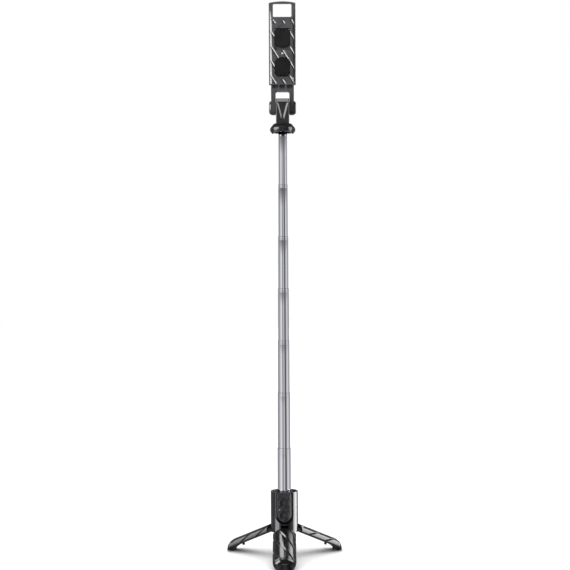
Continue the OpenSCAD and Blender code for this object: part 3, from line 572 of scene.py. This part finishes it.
def build_neck():
    """The neck: a square stem with a wedge-shaped scoop, a chamfered top and the tilt barrel behind."""
    lo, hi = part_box("neck")
    py, pz = JOINTS["clip_tilt"]["pos_m"][1:]
    half = hi[0]
    face = -8.6 * MM
    barrel = hi[1] - py
    barrel_rise = math.radians(35)
    front_round, back_round, top_round = 1.3 * MM, 0.8 * MM, 0.6 * MM
    z0, z1 = lo[2], hi[2]
    collar_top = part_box("collar_skirt")[1][2]
    foot, head = collar_top + 5.2 * MM, z1 - 5.9 * MM

    def front(x, z):
        """Front surface: flat, with the scoop cut into it, and a chamfer along the top."""
        y = face
        if foot < z < head + 0.5 * MM:
            t = (z - foot) / (head - foot)
            wide = 2.0 * MM + 6.2 * MM * t
            deep = 1.75 * MM * min(1.0, t * 4)
            deep *= min(1.0, max(0.0, (head + 0.5 * MM - z) / (0.5 * MM)))
            y = face + min(deep, 0.68 * max(0.0, wide - abs(x)))
        if z > z1 - 5 * MM:
            y = max(y, face + (z - z1 + 5 * MM) * 0.46)
        corner = max(0.0, abs(x) - half + front_round)
        y += front_round - math.sqrt(max(front_round ** 2 - corner ** 2, 0))
        edge = max(0.0, z - z1 + top_round)
        return y + top_round - math.sqrt(max(top_round ** 2 - edge ** 2, 0))

    def back(x, z):
        """Back surface: the stem, a flank that slopes out to the barrel, and the barrel."""
        y = -face
        a, b = collar_top + 3 * MM, pz - barrel * math.sin(barrel_rise)
        out = py + barrel * math.cos(barrel_rise)
        if z > a:
            y = max(y, -face + (z - a) / (b - a) * (out + face) if z < b else 0)
        if z >= b:
            h = z - pz
            if abs(h) < barrel:
                y = max(y, py + math.sqrt(barrel ** 2 - h ** 2))
            y = max(y, py + 2 * MM)
        corner = max(0.0, abs(x) - half + back_round)
        return y - back_round + math.sqrt(max(back_round ** 2 - corner ** 2, 0))

    cols, rows = 76, 190
    start = collar_top + 0.1 * MM
    verts, faces = [], []
    for k in range(rows + 1):
        z = start + (z1 - start) * k / rows
        across = [-half * math.cos(math.pi * c / cols) for c in range(cols + 1)]
        verts += [(x, front(x, z), z) for x in across]
        verts += [(x, back(x, z), z) for x in reversed(across)]
    n = 2 * (cols + 1)
    for k in range(rows):
        for c in range(n):
            d = (c + 1) % n
            faces.append((k * n + c, k * n + d, (k + 1) * n + d, (k + 1) * n + c))
    faces.append(tuple(range(n)))
    faces.append(tuple(rows * n + c for c in range(n)))
    o = make("neck_skin", verts, faces, "black_gloss", "neck_head", angle=24)
    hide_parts("neck")
    bore, stem_r = 4.06 * MM, 8.98 * MM
    stem = [(bore, z0), (8.8 * MM, z0), (stem_r, z0 + 0.3 * MM), (stem_r, start), (bore, start)]
    turned("neck_stem", stem, "black_gloss", "neck_head", sides=64, angle=40)


def build_skirt():
    """The skirt under the neck, turned with rounded shoulders, with its two locating lugs."""
    lo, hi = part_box("collar_skirt")
    foot = JOINTS["head_swivel"]["pos_m"][2]
    top, wide = hi[2], hi[0]
    profile = [(11.4 * MM, foot, 0.2), (wide - 1.5 * MM, foot, 0.5), (wide - 0.1 * MM, foot + 3.2 * MM, 0.9),
               (wide - 0.6 * MM, foot + 6 * MM, 1.0), (wide - 2.6 * MM, foot + 8.6 * MM, 1.2),
               (12.6 * MM, top, 1.1), (9.05 * MM, top, 0.15), (9.05 * MM, top - 4 * MM, 0.2),
               (11.4 * MM, top - 6 * MM, 0.2)]
    ring = fillet([p[:2] for p in profile], [p[2] * MM for p in profile], steps=5)
    o = turned("skirt_ring", ring, "black_gloss", "neck_head", sides=128, angle=30)
    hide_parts("collar_skirt")
    lug, drop, rise = 1.3 * MM, -1.5 * MM, 0.1 * MM
    outline = fillet([(-lug, drop), (lug, drop), (lug, rise), (-lug, rise)], [0.4 * MM, 0.4 * MM, 0, 0])
    n = len(outline)
    for side, s in (("left", -1), ("right", 1)):
        verts = [(s * 14 * MM + x, y, foot + h) for y in (-1.9 * MM, 1.9 * MM) for x, h in outline]
        faces = [(i, (i + 1) % n, n + (i + 1) % n, n + i) for i in range(n)]
        faces += [tuple(range(n)), tuple(range(n, 2 * n))]
        make(f"skirt_lug_{side}", verts, faces, "black_gloss", "neck_head", angle=30)


def build_caps():
    """The two domed covers at the ends of the tilt bolt."""
    pivot = JOINTS["clip_tilt"]["pos_m"]
    for side, s in (("left", -1), ("right", 1)):
        node = f"pivot_cap_{side}"
        lo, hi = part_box(node)
        r = (hi[2] - lo[2]) / 2
        h = hi[0] - lo[0]
        root = lo[0] if s > 0 else hi[0]
        place = Matrix.Translation((root, pivot[1], pivot[2])) @ Matrix.Rotation(math.radians(90 * s), 4, "Y")
        face = h - 0.35 * MM
        profile = [(4.6 * MM, 0, 0), (r, 0, 0.2), (r, 1.1 * MM, 0.8), (r - 0.9 * MM, h - 0.8 * MM, 1.3),
                   (r - 3.4 * MM, h - 0.05 * MM, 0.5), (r - 4.2 * MM, face, 0.3), (0, face, 0),
                   (0, 1.8 * MM, 0), (4.6 * MM, 1.8 * MM, 0.1)]
        ring = fillet([p[:2] for p in profile], [p[2] * MM for p in profile], steps=5)
        o = turned(f"tilt_cap_{side}", ring, "clip_plastic", "clip", sides=96, angle=35, place=place)
        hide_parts(node)


build_tubes()
build_legs()
build_bay()
build_remote()
build_neck()
build_skirt()
build_caps()
# The CAD nodes that no finer piece replaces keep their own mesh. Feet and pegs are finished with their legs.
done = {f"tube_{i}" for i in range(1, TUBES + 1)}
done |= {f"leg_{name}_{part}" for name in LEGS for part in ("shell", "foot", "peg")}
done |= {"remote_bay", "remote_case", "remote_base", "button_upper", "button_lower"}
done |= {"neck", "collar_skirt", "pivot_cap_left", "pivot_cap_right"}
EDGE_WIDTHS = {"clip_body": 0.35, "clip_slider": 0.35, "clip_fork": 0.5, "jaw_upper": 0.3, "jaw_lower": 0.3,
               "handle_shell": 0.4}
for name in NODES:
    if name not in done:
        finish_cad(name, EDGE_WIDTHS.get(name, 0.2))


# ---------------------------------------------------------------- studio

MIDDLE = Vector((0, 0, 0.36))


def link(obj):
    bpy.context.scene.collection.objects.link(obj)
    return obj


def softbox(name, size, place, power, receivers):
    """A soft light that looks at the middle of the stick and lights only the pieces in receivers."""
    light = bpy.data.lights.new(name, "AREA")
    light.shape = "RECTANGLE"
    light.size, light.size_y = size
    light.energy = power
    o = link(bpy.data.objects.new(name, light))
    o.location = place
    o.rotation_euler = (MIDDLE - Vector(place)).to_track_quat("-Z", "Y").to_euler()
    o.light_linking.receiver_collection = receivers


def surroundings():
    """The studio all round: walls whose brightness follows the compass angle, which the polished tubes
    mirror, and a dark ceiling."""
    world = bpy.data.worlds.new("studio")
    bpy.context.scene.world = world
    world.use_nodes = True
    t = world.node_tree
    n, l = t.nodes, t.links
    where = n.new("ShaderNodeTexCoord")
    part = n.new("ShaderNodeSeparateXYZ")
    l.new(where.outputs["Generated"], part.inputs["Vector"])
    back = n.new("ShaderNodeMath")
    back.operation = "MULTIPLY"
    back.inputs[1].default_value = -1
    l.new(part.outputs["Y"], back.inputs[0])
    turn = n.new("ShaderNodeMath")
    turn.operation = "ARCTAN2"
    l.new(part.outputs["X"], turn.inputs[0])
    l.new(back.outputs[0], turn.inputs[1])
    unit = n.new("ShaderNodeMapRange")
    unit.inputs["From Min"].default_value = -math.pi
    unit.inputs["From Max"].default_value = math.pi
    l.new(turn.outputs[0], unit.inputs["Value"])
    walls = n.new("ShaderNodeValToRGB")
    l.new(unit.outputs["Result"], walls.inputs["Fac"])
    # Compass angle, with the camera at 0, and brightness
    stops = [(-180, 0.34), (-119, 0.30), (-90, 0.40), (-70, 0.62), (-50, 0.92), (-33, 0.66), (-22, 0.30),
             (-15, 0.17), (-8, 0.38), (0, 0.68), (9, 0.55), (18, 0.26), (27, 0.09), (35, 0.05), (44, 0.16),
             (53, 0.50), (72, 0.78), (95, 0.55), (123, 0.30), (180, 0.34)]
    ramp = walls.color_ramp
    while len(ramp.elements) < len(stops):
        ramp.elements.new(0.5)
    for e, (angle, level) in zip(ramp.elements, stops):
        e.position = (angle + 180) / 360
    for e, (angle, level) in zip(ramp.elements, stops):
        e.color = (level, level, level * 1.03, 1)
    lift = n.new("ShaderNodeMapRange")
    lift.inputs["From Min"].default_value = 0.25
    lift.inputs["From Max"].default_value = 0.5
    l.new(part.outputs["Z"], lift.inputs["Value"])
    mix = n.new("ShaderNodeMix")
    mix.data_type = "RGBA"
    l.new(lift.outputs["Result"], mix.inputs["Factor"])
    l.new(walls.outputs["Color"], mix.inputs["A"])
    mix.inputs["B"].default_value = (0.14, 0.14, 0.145, 1)
    l.new(mix.outputs["Result"], n["Background"].inputs["Color"])
    n["Background"].inputs["Strength"].default_value = 1.0


def studio():
    """The surroundings, a pale floor and backdrop, and soft lights for each group of pieces."""
    bpy.context.scene.view_settings.view_transform = "Standard"
    surroundings()

    me = bpy.data.meshes.new("floor")
    sides, reach = 96, 9.0
    turns = [2 * math.pi * i / sides for i in range(sides)]
    rim = [(reach * math.cos(a), reach * math.sin(a), 0) for a in turns]
    me.from_pydata(rim, [], [tuple(range(sides))])
    floor = link(bpy.data.objects.new("floor", me))
    m, tree, bsdf = new_material("floor", (0.9, 0.9, 0.9), 0.8, specular=0.1)
    pale = two_tone(tree, noise(tree, 3, 3), (0.90, 0.90, 0.90), (0.92, 0.92, 0.92))
    tree.links.new(pale, bsdf.inputs["Base Color"])
    me.materials.append(m)
    floor.visible_glossy = False
    floor.visible_shadow = False
    floor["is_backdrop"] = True

    # A pale shell far round the set. Only the camera sees it.
    me = bpy.data.meshes.new("backdrop")
    bm = bmesh.new()
    bmesh.ops.create_icosphere(bm, subdivisions=4, radius=9.2)
    bm.to_mesh(me)
    bm.free()
    backdrop = link(bpy.data.objects.new("backdrop", me))
    m, tree, bsdf = new_material("backdrop", (0, 0, 0), 1.0, specular=0.0)
    bsdf.inputs["Emission Color"].default_value = (1, 1, 1, 1)
    bsdf.inputs["Emission Strength"].default_value = 1.0
    me.materials.append(m)
    for ray in ("glossy", "diffuse", "shadow", "transmission", "volume_scatter"):
        setattr(backdrop, f"visible_{ray}", False)
    backdrop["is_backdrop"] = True

    sun = bpy.data.lights.new("ceiling", "SUN")
    sun.energy = 3.9
    sun.angle = math.radians(120)
    o = link(bpy.data.objects.new("ceiling", sun))
    o.rotation_euler = (math.radians(8), math.radians(-6), 0)
    o.visible_glossy = False
    ground = bpy.data.collections.new("lit_floor")
    ground.objects.link(floor)
    o.light_linking.receiver_collection = ground

    def group(name, *starts):
        c = bpy.data.collections.new(name)
        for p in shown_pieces():
            if p.name.startswith(starts):
                c.objects.link(p)
        return c

    clip = group("lit_clip", "clip_", "jaw_", "tilt_cap", "pivot_", "guide_", "friction")
    neck = group("lit_neck", "neck_", "skirt_", "swivel_")
    grip = group("lit_grip", "handle_", "rim_", "hinge_", "hub_", "sleeve_", "bay_", "remote_", "button_",
                 "led_", "leg_pins")
    leg_front = group("lit_leg_front", "leg_front")
    leg_left = group("lit_leg_left", "leg_left")
    leg_right = group("lit_leg_right", "leg_right")

    softbox("clip_left", (1.2, 2.2), (-1.18, -0.78, 0.70), 135, clip)
    softbox("clip_right", (0.7, 1.4), (0.92, 1.1, 0.9), 7, clip)
    softbox("clip_front", (1.0, 0.6), (0.0, -1.7, 1.5), 4, clip)
    softbox("neck_left", (1.2, 2.0), (-1.25, -0.6, 0.6), 60, neck)
    softbox("neck_right", (0.9, 2.0), (1.36, -0.25, 0.6), 34, neck)
    softbox("neck_top", (1.0, 0.7), (0.0, -0.9, 1.9), 12, neck)
    softbox("grip_right", (1.1, 2.2), (1.36, 0.36, 0.2), 75, grip)
    softbox("grip_left", (1.0, 2.0), (-1.26, -0.62, 0.3), 36, grip)
    softbox("grip_front", (0.8, 0.7), (0.5, -1.4, 1.2), 9, grip)
    softbox("leg_above", (0.8, 1.1), (-0.30, 1.0, 1.6), 17, leg_front)
    softbox("leg_above_right", (0.7, 1.0), (1.0, 0.7, 1.3), 15, leg_front)
    softbox("leg_side", (0.9, 0.9), (-1.12, 0.05, 1.12), 26, leg_front)
    softbox("leg_low_front", (1.4, 0.16), (0.0, -1.5, 0.95), 2.5, leg_front)
    softbox("leg_left_rear", (1.0, 1.0), (-1.1, 0.64, 0.86), 9, leg_left)
    softbox("leg_right_rear", (1.0, 1.0), (1.1, 0.64, 0.86), 20, leg_right)


def camera():
    """A long lens from in front, level, with the small lean that the photographed stick has."""
    cam = bpy.data.cameras.new("camera")
    cam.lens = 76.1
    cam.sensor_width = 36
    cam.sensor_fit = "HORIZONTAL"
    cam.clip_start = 0.05
    cam.clip_end = 50
    o = link(bpy.data.objects.new("camera", cam))
    aim = Matrix.Rotation(math.radians(90), 4, "X") @ Matrix.Rotation(math.radians(-0.26), 4, "Z")
    o.matrix_world = Matrix.Translation((0.0023, -1.687, 0.380)) @ aim
    bpy.context.scene.camera = o


studio()
camera()
bpy.context.view_layer.update()
